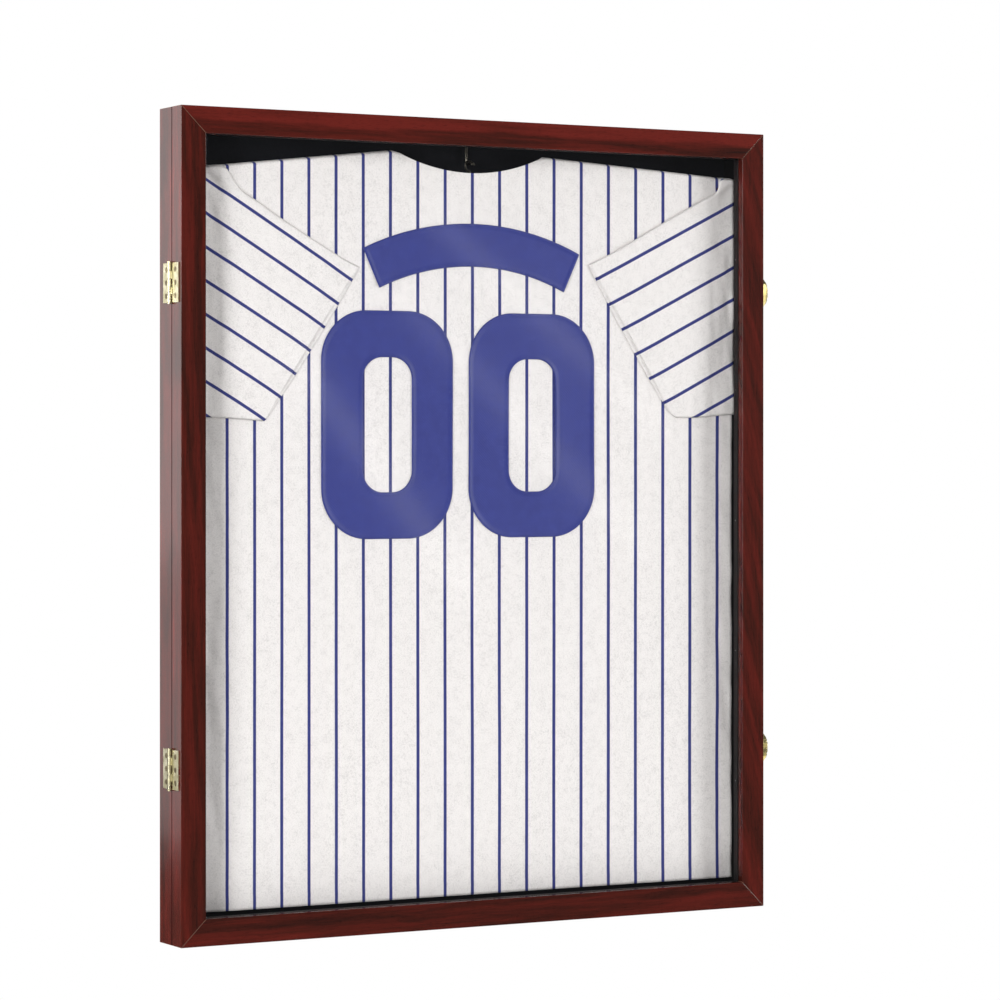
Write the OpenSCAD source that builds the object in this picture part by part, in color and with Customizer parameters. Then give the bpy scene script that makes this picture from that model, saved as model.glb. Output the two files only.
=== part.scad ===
// Lockable wall-hung jersey display case, in millimetres.
// +Z is up, the wall is the plane y = 0 and the door faces -Y.
// The origin is midway between the entry holes of the two keyhole hangers.

/* [Case] */
// Outer width of the case and its door
frame_w = 660; // [650:1:700]
// Outer height of the case and its door
frame_h = 800; // [795:1:860]
// Depth of the case behind the seam
case_depth = 28; // [28:0.5:34]
// Thickness of the four case rails
wall = 20; // [19.5:0.5:21]
// How far the keyhole entry holes lie under the top edge
hanger_drop = 40; // [38:1:46]
// Thickness of the hardboard back
back_t = 3; // [2:0.5:3.5]
// Thickness of the felt on the back
felt_t = 1.4; // [1:0.1:1.6]

/* [Door] */
// Depth of the door frame in front of the seam
door_depth = 21.6; // [21:0.2:26]
// Gap between the door and the case when shut
seam = 0.4; // [0.4:0.1:0.5]
// Face width of the four door rails
door_rail_w = 26; // [25:1:28]
// Thickness of the wood in front of the pane
lip_t = 8; // [7:0.5:9]
// Thickness of the clear pane
pane_t = 2; // [1.5:0.5:3]

/* [Hinges] */
// Distance from the frame's end to the middle of a hinge
hinge_from_end = 168; // [120:1:200]
// Height of a hinge leaf
leaf_h = 38; // [36:1:44]
// Reach of a leaf from the pin's axis
leaf_reach = 17.5; // [16:0.5:19]
// Thickness of the leaf's sheet
leaf_t = 1.2; // [1:0.1:1.2]
// Radius of the rolled knuckle
knuckle_r = 2.3; // [2.2:0.05:2.3]
// Radius of the hinge pin
pin_r = 1.2; // [1:0.1:1.2]
// How far the door swings open, in degrees
door_open = 0; // [0:1:175]

/* [Locks] */
// Distance from the frame's end to the middle of a lock
lock_from_end = 164; // [120:1:200]
// Length of the lock housing along the case's depth
lock_len = 27; // [26:0.5:27]
// Height of the lock housing and its strike plate
lock_h = 28; // [28:0.5:32]
// How far the housing stands proud of the side
lock_proud = 9.2; // [9:0.1:9.6]
// Radius of the key cylinder
cylinder_r = 4.2; // [4:0.1:4.3]

/* [Wall hangers] */
// Radius of the keyhole's entry hole
entry_r = 4.25; // [4:0.05:4.5]
// Width of the keyhole's slot
slot_w = 4.6; // [4:0.1:5]
// Height of the keyhole plate
plate_h = 42; // [40:1:44]

/* [Jersey hanger] */
// Length of the wooden bar
bar_w = 610; // [560:5:610]
// Height of the wooden bar
bar_h = 20; // [16:1:22]
// Thickness of the wooden bar
bar_d = 16; // [12:1:16]
// Radius of the hook's wire
wire_r = 1.1; // [0.9:0.1:1.2]

/* [Jersey] */
// Width of the folded jersey
jersey_w = 615; // [560:5:615]
// Height of the folded jersey from the hem to the bar's top
jersey_drop = 716; // [680:1:716]
// Width of the neck opening
neck_w = 172; // [140:2:190]
// Depth of the neck opening at its middle
neck_sag = 20; // [16:1:20]
// Height of the number
number_h = 225; // [200:1:240]
// Width of one digit of the number
digit_w = 146; // [130:1:146]
// Width of a digit's stroke
stroke_w = 46; // [36:1:50]

/* [Hidden] */

mahogany = [0.36, 0.12, 0.11];
brass = [0.90, 0.78, 0.42];
steel = [0.66, 0.67, 0.69];
cloth_white = [0.94, 0.93, 0.92];
cloth_blue = [0.25, 0.28, 0.56];
$fn = 64;

// Frame planes
half_w = frame_w / 2;
z_top = hanger_drop;
z_bottom = hanger_drop - frame_h;
door_back = -case_depth - seam;
door_front = door_back - door_depth;
sight_x = half_w - door_rail_w;
sight_top = z_top - door_rail_w;
sight_bottom = z_bottom + door_rail_w;
eps = 0.01;

// Back of the case: the panel sits in a rabbet, held by points pushed into the rabbet's wall
rabbet_w = 6;
panel_inset = 2;
rabbet_d = panel_inset + back_t;
panel_gap = 0.5;
point_t = 0.6;
nail_t = 0.7;
nail_leg = 5.5;
nail_d = 7;
nail_inset = (wall - rabbet_w) / 2;
point_half = 4;
point_tail = 8;
point_shoulder = 2;
point_tip = 5;
bumper_r = 4;
bumper_seat = 1.5;
bumper_z = [z_top - 50, z_bottom + 50];

// Pane pocket in the door
pane_rabbet = 9;
pane_back = door_front + lip_t + pane_t;
strip_w = pane_rabbet - 0.4;
strip_t = 7;
strip_gap = 0.05;
strip_pin_pitch = 135;
strip_pin_r = 0.6;
z_mid = (z_top + z_bottom) / 2;

// Hinges
axis_off = 2.4;
pin_clear = 0.05;
hinge_x = -half_w - axis_off;
hinge_y = -case_depth - seam / 2;
knuckles = 5;
knuckle_gap = 0.15;
leaf_clear = 3;
leaf_root = 0.8;
pin_head_t = 1.2;
leaf_screw_y = 10.5;
leaf_screw_z = [-12.5, 0, 12.5];
leaf_screw_head_r = 2.7;
leaf_screw_r = 1.45;
screw_length = 14;
slot_half = 0.35;
slot_deep = 0.5;
hinge_z = [z_top - hinge_from_end, z_bottom + hinge_from_end];

// Locks
lock_y = -case_depth + 0.3 + lock_len / 2;
lock_z = [z_top - lock_from_end, z_bottom + lock_from_end];
lock_corner = 6;
lock_bevel = 2.6;
lock_cap = 1.9;
lock_ring_w = 1.6;
lock_ring_t = 0.6;
lock_screw_head_r = 3;
lock_screw_head_t = 2;
lock_screw_r = 1.5;
lock_screw_sunk = 0.2;
cavity_z = 7.2;
cavity_y = lock_len / 2 - 2;
tongue_t = 2;
tongue_x = 1.2;
tongue_half = 6.2;
tongue_end = 5;
cam_throw = 3;
cam_pin_r = 1.3;
cam_clear = 0.35;
cam_t = 0.8;
cam_disc_r = 5.8;
cylinder_head_r = 5;
cylinder_head_t = 0.75;
keyway_half_w = 0.7;
keyway_half_h = 3;
keyway_deep = 1.8;
strike_len = 20;
strike_t = 6.5;
strike_bevel = 2.4;
strike_corner = 5;
strike_tab_len = 15.5;
strike_tab_half = 5.3;
strike_tab_edge = 0.8;
strike_back = -lock_len / 2 - 1.1;
lock_screw_z = 10.6;
strike_screw_z = 9;
strike_screw_y = -28.6;
strike_screw_head_r = 2.4;
strike_screw_r = 1.3;
strike_screw_head_t = 1.2;

// Keyhole hangers, in the solid wood beside the rabbet
plate_w = 13;
plate_t = 1.5;
hanger_x = half_w - (wall - rabbet_w) / 2;
plate_low = -16;
slot_top = 12;
pocket_w = 9.6;
pocket_d = 9;
pocket_low = -6;
pocket_top = 17;
keyhole_screw_z = [-12.5, plate_low + plate_h - 4];

// Hanger: the bar's middle, its hook and the peg under the top rail
bar_y = -17.3;
bar_top = -15;
hook_stem = 6.5;
hook_sunk = 10;
hook_r = 5;
hook_start = 10;
hook_turn = 260;
hook_z = bar_top + hook_stem + hook_r;
peg_r = 1.5;
peg_z = hook_z + hook_r - wire_r - peg_r;
peg_stem_y = -9.8;
peg_tip_y = -22.5;
peg_depth = 10;
peg_flange_r = 3.2;
peg_knob = 0.5;

// Jersey, hung over the bar and folded to the case's width
jersey_left = -306;
jersey_right = jersey_left + jersey_w;
jersey_low = bar_top - jersey_drop;
shoulder_left_z = bar_top + 0.8;
shoulder_right_z = bar_top + 11;
neck_z = bar_top + 24;
neck_x = -4;
jersey_front = bar_y - bar_d / 2 - 1.1;
jersey_back = bar_y + bar_d / 2 + 1.3;
bar_play = 0.1;
bar_wrap = 6;
fold_end = 70;
fold_thin = 6;
hem_thin = 8;
sleeve_t = 1.6;
patch_t = 0.6;
sleeve_top = [-273, -12.5];
sleeve_bend = [-257, -36];
sleeve_tip = [-128, -108];
cuff_low = [-229, -258];
cuff_side_z = -256;
right_sleeve_top = [293, -4.6];
right_sleeve_bend = [284.5, -21];
right_sleeve_tip = [133, -99];
right_cuff_low = [233, -254];
right_cuff_side_z = -250;
number_top = -150;
digit_left_x = -97;
digit_right_x = 67;
digit_corner = 50;
counter_corner = 0.4;
name_top = -62;
name_r = 290;
name_h = 42;
name_x = -1;
name_half_angle = 25;
arc_steps = 16;

// Extrudes an X-Z drawing from the plane y = y_back forwards by t
module slab(y_back, t) {
    translate([0, y_back, 0]) rotate([90, 0, 0]) linear_extrude(t) children();
}

// Extrudes a Y-Z drawing along +X from x_start by t
module side_slab(x_start, t) {
    translate([x_start, 0, 0]) rotate([90, 0, 90]) linear_extrude(t) children();
}

module box(low, high) {
    translate(low) cube(high - low);
}

// Mitred rails: outline of one side of a picture frame with rails w wide
function rail_outline(side, w) =
    side == "top" ? [[-half_w, z_top], [half_w, z_top], [half_w - w, z_top - w], [w - half_w, z_top - w]]
    : side == "bottom" ? [[-half_w, z_bottom], [half_w, z_bottom],
        [half_w - w, z_bottom + w], [w - half_w, z_bottom + w]]
    : side == "left" ? [[-half_w, z_bottom], [w - half_w, z_bottom + w],
        [w - half_w, z_top - w], [-half_w, z_top]]
    : [[half_w, z_bottom], [half_w - w, z_bottom + w], [half_w - w, z_top - w], [half_w, z_top]];

function arc(cx, cz, r, from, to) =
    [for (i = [0:arc_steps])
        let (a = from + (to - from) * i / arc_steps)
        [cx + r * cos(a), cz + r * sin(a)]];

module case_rail(side) {
    color(mahogany) difference() {
        slab(0, case_depth) polygon(rail_outline(side, wall));
        box([-half_w + wall - rabbet_w, -rabbet_d, z_bottom + wall - rabbet_w],
            [half_w - wall + rabbet_w, 1, z_top - wall + rabbet_w]);
        children();
    }
}

// Routed seats in a side rail for the keyhole plate and the screw head behind it, and the bumper seats
module side_seats(x_side) {
    x = x_side * hanger_x;
    box([x - plate_w / 2, -plate_t, plate_low], [x + plate_w / 2, 1, plate_low + plate_h]);
    box([x - pocket_w / 2, -pocket_d, pocket_low], [x + pocket_w / 2, 1, pocket_top]);
    for (z = bumper_z)
        translate([x_side * (half_w - wall / 2), -case_depth - 1, z]) rotate([-90, 0, 0])
            cylinder(r = bumper_r + 0.05, h = bumper_seat + 1);
}

module lock_screw_seats() {
    for (zc = lock_z, s = [-1, 1])
        translate([half_w - wall - 1, lock_y, zc + s * lock_screw_z]) rotate([0, 90, 0])
            cylinder(r = lock_screw_head_r + 0.2, h = lock_screw_head_t + 1.5);
}

// V nails across each mitre, pressed in from the face y = y_back
module corner_nails(y_back, inset) {
    color(steel) for (sx = [-1, 1], top = [0, 1])
        translate([sx * (half_w - inset), 0, top ? z_top - inset : z_bottom + inset])
            slab(y_back, nail_d) mirror([sx > 0 ? 1 : 0, 0]) mirror([0, top ? 0 : 1])
                polygon([[-nail_t / 2, nail_t / 2], [nail_leg, nail_t / 2], [nail_leg, -nail_t / 2],
                    [nail_t / 2, -nail_t / 2], [nail_t / 2, -nail_leg], [-nail_t / 2, -nail_leg]]);
}

module back_panel() {
    color([0.45, 0.33, 0.22])
        box([-half_w + wall - rabbet_w + panel_gap, -rabbet_d, z_bottom + wall - rabbet_w + panel_gap],
            [half_w - wall + rabbet_w - panel_gap, -panel_inset, z_top - wall + rabbet_w - panel_gap]);
}

module felt_lining() {
    gap = 0.2;
    color([0.05, 0.05, 0.06])
        box([-half_w + wall + gap, -rabbet_d - felt_t, z_bottom + wall + gap],
            [half_w - wall - gap, -rabbet_d, z_top - wall - gap]);
}

// One flat point: its tip is driven outwards into the rabbet's wall, its tail lies on the panel
module back_point(angle) {
    rotate([0, angle, 0]) slab(-panel_inset + point_t, point_t)
        polygon([[-point_tail, -point_half], [point_shoulder, -point_half], [point_tip, 0],
            [point_shoulder, point_half], [-point_tail, point_half]]);
}

module back_points() {
    x = half_w - wall + rabbet_w;
    color(steel) {
        for (z = [-630:180:-90], s = [-1, 1])
            translate([s * x, 0, z]) back_point(s > 0 ? 0 : 180);
        for (xi = [-200:200:200]) {
            translate([xi, 0, z_top - wall + rabbet_w]) back_point(-90);
            translate([xi, 0, z_bottom + wall - rabbet_w]) back_point(90);
        }
    }
}

module door_bumpers() {
    color([0.2, 0.2, 0.2]) for (s = [-1, 1], z = bumper_z)
        translate([s * (half_w - wall / 2), -case_depth - seam + 0.1, z]) rotate([-90, 0, 0])
            cylinder(r = bumper_r, h = bumper_seat + seam - 0.1);
}

// Countersunk wood screw along +X, its head flush at x = 0
module wood_screw(head_r, shank_r, head_t, length) {
    rotate([0, 90, 0]) {
        difference() {
            union() {
                cylinder(r1 = head_r, r2 = shank_r, h = head_t);
                translate([0, 0, head_t]) cylinder(r = shank_r, h = length - head_t);
            }
            box([-head_r - 1, -slot_half, -1], [head_r + 1, slot_half, slot_deep]);
        }
    }
}

module screw_hole(head_r, shank_r, head_t, through = 0) {
    rotate([0, 90, 0]) {
        translate([0, 0, -eps]) cylinder(r1 = head_r + 0.05, r2 = shank_r + 0.05, h = head_t);
        cylinder(r = shank_r + 0.05, h = max(head_t * 3, through));
    }
}

// Wall hangers
module keyhole_plate(x_side) {
    color(brass) translate([x_side * hanger_x, 0, 0]) difference() {
        slab(0, plate_t) difference() {
            translate([-plate_w / 2, plate_low]) square([plate_w, plate_h]);
            circle(r = entry_r);
            translate([-slot_w / 2, 0]) square([slot_w, slot_top]);
            translate([0, slot_top]) circle(r = slot_w / 2 + 0.2);
        }
        for (z = keyhole_screw_z) translate([0, 0, z]) rotate([0, 0, -90])
            screw_hole(leaf_screw_head_r, leaf_screw_r, plate_t);
    }
}

module keyhole_screws() {
    color(steel) for (s = [-1, 1], z = keyhole_screw_z)
        translate([s * hanger_x, 0, z]) rotate([0, 0, -90])
            wood_screw(leaf_screw_head_r, leaf_screw_r, plate_t, screw_length);
}

// Peg under the top rail that the hanger's hook sits on
module hanger_peg() {
    color(brass) {
        translate([0, peg_stem_y, peg_z]) cylinder(r = peg_r, h = z_top - wall + peg_depth - peg_z);
        translate([0, peg_stem_y, z_top - wall - 1]) cylinder(r = peg_flange_r, h = 1);
        translate([0, peg_tip_y, peg_z]) rotate([-90, 0, 0])
            cylinder(r = peg_r, h = peg_stem_y - peg_tip_y);
        translate([0, peg_stem_y, peg_z]) sphere(r = peg_r + 0.05);
        translate([0, peg_tip_y, peg_z]) sphere(r = peg_r + peg_knob);
    }
}

// Hinges, drawn with the pin on the Z axis, the wood at x > axis_off and the case at y > 0
module hinge_leaf(own) {
    pitch = leaf_h / knuckles;
    difference() {
        union() {
            box([axis_off - leaf_t, leaf_clear, -leaf_h / 2], [axis_off, leaf_reach, leaf_h / 2]);
            for (k = own) {
                low = -leaf_h / 2 + k * pitch + (k > 0 ? knuckle_gap : 0);
                high = -leaf_h / 2 + (k + 1) * pitch - (k < knuckles - 1 ? knuckle_gap : 0);
                box([axis_off - leaf_t, leaf_root, low], [axis_off, leaf_clear + eps, high]);
                translate([0, 0, low]) cylinder(r = knuckle_r, h = high - low);
            }
        }
        translate([0, 0, -leaf_h]) cylinder(r = pin_r + pin_clear, h = 2 * leaf_h);
        for (z = leaf_screw_z) translate([axis_off - leaf_t, leaf_screw_y, z])
            screw_hole(leaf_screw_head_r, leaf_screw_r, leaf_t);
    }
}

module hinge_leaf_case(z) {
    color(brass) translate([hinge_x, hinge_y, z]) hinge_leaf([0, 2, 4]);
}

module hinge_leaf_door(z) {
    color(brass) door() translate([hinge_x, hinge_y, z]) mirror([0, 1, 0]) hinge_leaf([1, 3]);
}

module hinge_pin(z) {
    color(brass) translate([hinge_x, hinge_y, z]) {
        translate([0, 0, -leaf_h / 2 - eps]) cylinder(r = pin_r, h = leaf_h + 2 * eps);
        for (low = [-leaf_h / 2 - pin_head_t, leaf_h / 2])
            translate([0, 0, low]) cylinder(r = knuckle_r, h = pin_head_t);
    }
}

module hinge_screws(y_side) {
    color(brass) for (zc = hinge_z, z = leaf_screw_z)
        translate([hinge_x + axis_off - leaf_t, hinge_y + y_side * leaf_screw_y, zc + z])
            wood_screw(leaf_screw_head_r, leaf_screw_r, leaf_t, screw_length);
}

// Locks, drawn with the side of the case at x = 0, the key's axis along X and the door at y < 0
module octagon(inset) {
    a = lock_len / 2 - inset;
    b = lock_h / 2 - inset;
    c = lock_corner - inset * 0.6;
    polygon([[-a, c - b], [c - a, -b], [a - c, -b], [a, c - b],
        [a, b - c], [a - c, b], [c - a, b], [-a, b - c]]);
}

module lock_housing() {
    difference() {
        union() {
            side_slab(0, lock_proud - lock_bevel + eps) octagon(0);
            hull() {
                side_slab(lock_proud - lock_bevel, eps) octagon(0);
                side_slab(lock_proud - eps, eps) octagon(lock_bevel);
            }
            translate([lock_proud - eps, 0, 0]) rotate([0, 90, 0])
                cylinder(r = cylinder_head_r + lock_ring_w, h = lock_ring_t);
        }
        box([-1, -cavity_y, -cavity_z], [lock_proud - lock_cap, cavity_y, cavity_z]);
        box([tongue_x - 0.3, -lock_len, -tongue_half - 0.3],
            [tongue_x + tongue_t + 0.4, -cavity_y + eps, tongue_half + 0.3]);
        rotate([0, 90, 0]) cylinder(r = cylinder_r + 0.06, h = 20);
        translate([lock_proud + 0.1, 0, 0]) rotate([0, 90, 0])
            cylinder(r = cylinder_head_r + 0.15, h = 5);
    }
}

module lock_at(i) {
    translate([half_w, lock_y, lock_z[i]]) children();
}

module lock_screws() {
    color(steel) for (i = [0, 1], s = [-1, 1]) lock_at(i)
        translate([-wall + lock_screw_sunk, 0, s * lock_screw_z]) rotate([0, 90, 0]) {
            cylinder(r = lock_screw_head_r, h = lock_screw_head_t);
            cylinder(r = lock_screw_r, h = wall + lock_proud / 2);
        }
}

module lock_cylinder() {
    barrel_end = lock_proud - lock_cap - 0.1;
    difference() {
        rotate([0, 90, 0]) {
            translate([0, 0, barrel_end]) cylinder(r = cylinder_r, h = lock_proud + 0.2 - barrel_end);
            translate([0, 0, lock_proud + 0.15]) cylinder(r = cylinder_head_r, h = cylinder_head_t);
        }
        box([lock_proud + 0.9 - keyway_deep, -keyway_half_w, -keyway_half_h],
            [lock_proud + 2, keyway_half_w, keyway_half_h]);
    }
}

// The cam's lug stands in the tongue's slot: it leaves the slot's mouth free until the key is turned
module lock_cam() {
    cam_out = lock_proud - lock_cap - 0.1;
    rotate([0, 90, 0]) translate([0, 0, cam_out - cam_t]) cylinder(r = cam_disc_r, h = cam_t);
    translate([tongue_x - 0.2, 0, cam_throw]) rotate([0, 90, 0])
        cylinder(r = cam_pin_r, h = cam_out - cam_t / 2 - tongue_x + 0.2);
}

module tongue_outline() {
    r_out = cam_throw + cam_pin_r + cam_clear;
    r_in = cam_throw - cam_pin_r - cam_clear;
    difference() {
        translate([strike_back - 1, -tongue_half])
            square([tongue_end - strike_back + 1, 2 * tongue_half]);
        translate([-r_out, r_in]) square([20, r_out - r_in]);
        intersection() {
            difference() {
                circle(r = r_out);
                circle(r = r_in);
            }
            translate([-10, 0]) square(10);
        }
        translate([-cam_throw, 0]) circle(r = cam_pin_r + cam_clear + 0.01);
    }
}

// Outline of the strike: its two front corners are cut
module strike_outline(inset) {
    front = strike_back - strike_len + inset;
    b = lock_h / 2 - inset;
    c = strike_corner - inset * 0.6;
    polygon([[front, c - b], [front + c, -b], [strike_back, -b],
        [strike_back, b], [front + c, b], [front, b - c]]);
}

module strike_plate() {
    difference() {
        union() {
            side_slab(0, strike_t - strike_bevel + eps) strike_outline(0);
            hull() {
                side_slab(strike_t - strike_bevel, eps) strike_outline(0);
                side_slab(strike_t - eps, eps) strike_outline(strike_bevel);
            }
            hull() for (edge = [0, strike_tab_edge])
                box([1, strike_back - strike_tab_len + edge, edge - strike_tab_half],
                    [lock_proud - strike_tab_edge + edge, strike_back, strike_tab_half - edge]);
            side_slab(tongue_x, tongue_t) tongue_outline();
        }
        for (s = [-1, 1]) translate([strike_t, strike_screw_y, s * strike_screw_z]) mirror([1, 0, 0])
            screw_hole(strike_screw_head_r, strike_screw_r, strike_screw_head_t, strike_t + 1);
    }
}

module strike_screws() {
    color(brass) for (i = [0, 1], s = [-1, 1]) lock_at(i)
        translate([strike_t, strike_screw_y, s * strike_screw_z]) mirror([1, 0, 0])
            wood_screw(strike_screw_head_r, strike_screw_r, strike_screw_head_t, screw_length);
}

// Door, which turns about the hinge pins
module door() {
    translate([hinge_x, hinge_y, 0]) rotate([0, 0, -door_open])
        translate([-hinge_x, -hinge_y, 0]) children();
}

module door_rail(side) {
    color(mahogany) door() difference() {
        slab(door_back, door_depth) polygon(rail_outline(side, door_rail_w));
        box([-sight_x - pane_rabbet, door_front + lip_t, sight_bottom - pane_rabbet],
            [sight_x + pane_rabbet, door_back + 1, sight_top + pane_rabbet]);
    }
}

module clear_pane() {
    edge = pane_rabbet - 1;
    color([0.85, 0.9, 0.95, 0.2]) door()
        box([-sight_x - edge, door_front + lip_t, sight_bottom - edge],
            [sight_x + edge, pane_back, sight_top + edge]);
}

module pane_strip(side) {
    level = side == "top" ? [sight_top, sight_top + strip_w] : [sight_bottom - strip_w, sight_bottom];
    across = side == "left" ? [-sight_x - strip_w, -sight_x] : [sight_x, sight_x + strip_w];
    color(mahogany) door() if (side == "top" || side == "bottom")
        box([-sight_x - strip_w, pane_back, level[0]],
            [sight_x + strip_w, pane_back + strip_t, level[1]]);
    else
        box([across[0], pane_back, sight_bottom + strip_gap],
            [across[1], pane_back + strip_t, sight_top - strip_gap]);
}

// Headless pins through the strips into the door's rabbet
module pane_strip_pins() {
    length = strip_w + 6;
    y = pane_back + strip_t / 2;
    color(steel) door() {
        for (x = [-2:2], top = [0, 1])
            translate([x * strip_pin_pitch, y, top ? sight_top : sight_bottom - length])
                cylinder(r = strip_pin_r, h = length);
        for (z = [-2:2], s = [-1, 1])
            translate([s > 0 ? sight_x : -sight_x - length, y, z_mid + z * strip_pin_pitch])
                rotate([0, 90, 0]) cylinder(r = strip_pin_r, h = length);
    }
}

// Jersey hanger
module hanger_bar() {
    color(mahogany)
        box([-bar_w / 2, bar_y - bar_d / 2, bar_top - bar_h], [bar_w / 2, bar_y + bar_d / 2, bar_top]);
}

module hanger_hook() {
    color(steel) {
        translate([0, bar_y, bar_top - hook_sunk]) cylinder(r = wire_r, h = hook_stem + hook_sunk + 0.4);
        translate([0, bar_y, hook_z]) rotate([90, 0, 0]) rotate([0, 0, hook_start])
            rotate_extrude(angle = hook_turn) translate([hook_r, 0]) circle(r = wire_r);
    }
}

// Jersey: a flat tube of cloth over the bar, with its sleeves folded across the front
function neckline() =
    let (half = neck_w / 2, r = (half * half + neck_sag * neck_sag) / (2 * neck_sag), a = asin(half / r))
    arc(neck_x, neck_z - neck_sag + r, r, -90 - a, -90 + a);

module jersey_outline() {
    polygon(concat([[jersey_left, jersey_low], [jersey_left, shoulder_left_z]], neckline(),
        [[jersey_right, shoulder_right_z], [jersey_right, jersey_low]]));
}

module jersey_body() {
    color(cloth_white) difference() {
        intersection() {
            slab(jersey_back, jersey_back - jersey_front) jersey_outline();
            side_slab(jersey_left - 1, jersey_w + 2) polygon([
                [jersey_front, neck_z + 1], [jersey_back, neck_z + 1],
                [jersey_back, bar_top - bar_h - bar_wrap],
                [jersey_back - fold_thin, bar_top - bar_h - fold_end],
                [jersey_back - hem_thin, jersey_low - 1], [jersey_front, jersey_low - 1]]);
        }
        box([jersey_left - 2, bar_y - bar_d / 2 - bar_play, bar_top - bar_h - bar_play],
            [jersey_right + 2, bar_y + bar_d / 2 + bar_play, bar_top]);
        translate([0, bar_y, bar_top - 1]) cylinder(r = wire_r + 0.5, h = 40);
    }
}

module jersey_sleeve_left() {
    color(cloth_white) slab(jersey_front, sleeve_t)
        polygon([[jersey_left, shoulder_left_z], sleeve_top, sleeve_bend, sleeve_tip, cuff_low,
            [jersey_left, cuff_side_z]]);
}

module jersey_sleeve_right() {
    color(cloth_white) slab(jersey_front, sleeve_t)
        polygon([[jersey_right, shoulder_right_z], right_sleeve_top, right_sleeve_bend, right_sleeve_tip,
            right_cuff_low, [jersey_right, right_cuff_side_z]]);
}

// One plain numeral zero, a rounded ring
function rounded(w, h, r) = concat(
    arc(w / 2 - r, h / 2 - r, r, 0, 90), arc(r - w / 2, h / 2 - r, r, 90, 180),
    arc(r - w / 2, r - h / 2, r, 180, 270), arc(w / 2 - r, r - h / 2, r, 270, 360));

module jersey_digit(x) {
    color(cloth_blue) slab(jersey_front, patch_t) translate([x, number_top - number_h / 2]) difference() {
        polygon(rounded(digit_w, number_h, digit_corner));
        polygon(rounded(digit_w - 2 * stroke_w, number_h - 2 * stroke_w,
            (digit_w - 2 * stroke_w) * counter_corner));
    }
}

module jersey_nameplate() {
    color(cloth_blue) slab(jersey_front, patch_t) polygon(concat(
        arc(name_x, name_top - name_r, name_r, 90 - name_half_angle, 90 + name_half_angle),
        arc(name_x, name_top - name_r, name_r - name_h, 90 + name_half_angle, 90 - name_half_angle)));
}

case_rail("top");  // case_rail_top
case_rail("bottom");  // case_rail_bottom
case_rail("left") side_seats(-1);  // case_rail_left
case_rail("right") {  // case_rail_right
    side_seats(1);
    lock_screw_seats();
}
corner_nails(0, nail_inset);  // case_corner_nails
back_panel();
felt_lining();
back_points();
door_bumpers();
keyhole_plate(-1);  // keyhole_plate_left
keyhole_plate(1);  // keyhole_plate_right
keyhole_screws();
hanger_peg();
hinge_leaf_case(hinge_z[0]);  // hinge_leaf_case_upper
hinge_leaf_case(hinge_z[1]);  // hinge_leaf_case_lower
hinge_pin(hinge_z[0]);  // hinge_pin_upper
hinge_pin(hinge_z[1]);  // hinge_pin_lower
hinge_screws(1);  // hinge_screws_case
color(brass) lock_at(0) lock_housing();  // lock_housing_upper
color(brass) lock_at(1) lock_housing();  // lock_housing_lower
lock_screws();
door_rail("top");  // door_rail_top
door_rail("bottom");  // door_rail_bottom
door_rail("left");  // door_rail_left
door_rail("right");  // door_rail_right
door() corner_nails(door_back, nail_inset);  // door_corner_nails
clear_pane();
pane_strip("top");  // pane_strip_top
pane_strip("bottom");  // pane_strip_bottom
pane_strip("left");  // pane_strip_left
pane_strip("right");  // pane_strip_right
pane_strip_pins();
hinge_leaf_door(hinge_z[0]);  // hinge_leaf_door_upper
hinge_leaf_door(hinge_z[1]);  // hinge_leaf_door_lower
door() hinge_screws(-1);  // hinge_screws_door
color(brass) door() lock_at(0) strike_plate();  // strike_plate_upper
color(brass) door() lock_at(1) strike_plate();  // strike_plate_lower
door() strike_screws();
color(brass) lock_at(0) lock_cylinder();  // lock_cylinder_upper
color(brass) lock_at(1) lock_cylinder();  // lock_cylinder_lower
color(steel) lock_at(0) lock_cam();  // lock_cam_upper
color(steel) lock_at(1) lock_cam();  // lock_cam_lower
hanger_bar();
hanger_hook();
jersey_body();
jersey_sleeve_left();
jersey_sleeve_right();
jersey_digit(digit_left_x);  // jersey_digit_left
jersey_digit(digit_right_x);  // jersey_digit_right
jersey_nameplate();
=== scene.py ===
"""Looks of a wall-hung jersey display case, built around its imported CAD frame.

Everything is in metres. +Z is up, the door faces -Y and its hinges are on the -X side.
"""

import math

import bmesh
import bpy
import numpy as np
from mathutils import Matrix, Vector


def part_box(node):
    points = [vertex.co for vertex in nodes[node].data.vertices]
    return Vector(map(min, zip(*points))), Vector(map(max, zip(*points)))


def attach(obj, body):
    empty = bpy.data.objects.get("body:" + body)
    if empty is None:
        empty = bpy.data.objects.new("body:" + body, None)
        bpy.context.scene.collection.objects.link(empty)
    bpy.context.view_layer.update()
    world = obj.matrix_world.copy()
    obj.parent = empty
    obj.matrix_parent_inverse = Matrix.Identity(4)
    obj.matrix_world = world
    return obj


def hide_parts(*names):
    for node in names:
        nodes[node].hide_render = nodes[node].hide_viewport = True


MM = 0.001

# Camera: level, standing to the left of the case, a little above its middle
VIEW_AZIMUTH = math.radians(-29.09)
VIEW_DISTANCE = 3.6
VIEW_AIM = Vector((0.0155, -0.0264, -0.2911))
LENS_MM = 129.55
SENSOR_MM = 36
SHIFT = (0.0124, -0.0462)

# Studio
FLOOR_DROP = 0.74
FLOOR_RADIUS = 2.6
AMBIENT = 0.07
GLINT_DISTANCE = 2.4

# Wood
CASE_WALL = 20 * MM
BLACK_PAINT = (0.0075, 0.0072, 0.0080)
LACQUER = 0.75
# Lacquer lost on the black-painted inside faces, and on the painted shade line along the door seam
LACQUER_LOSS_ON_PAINT_AND_SEAM_SHADE = 0.7

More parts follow.
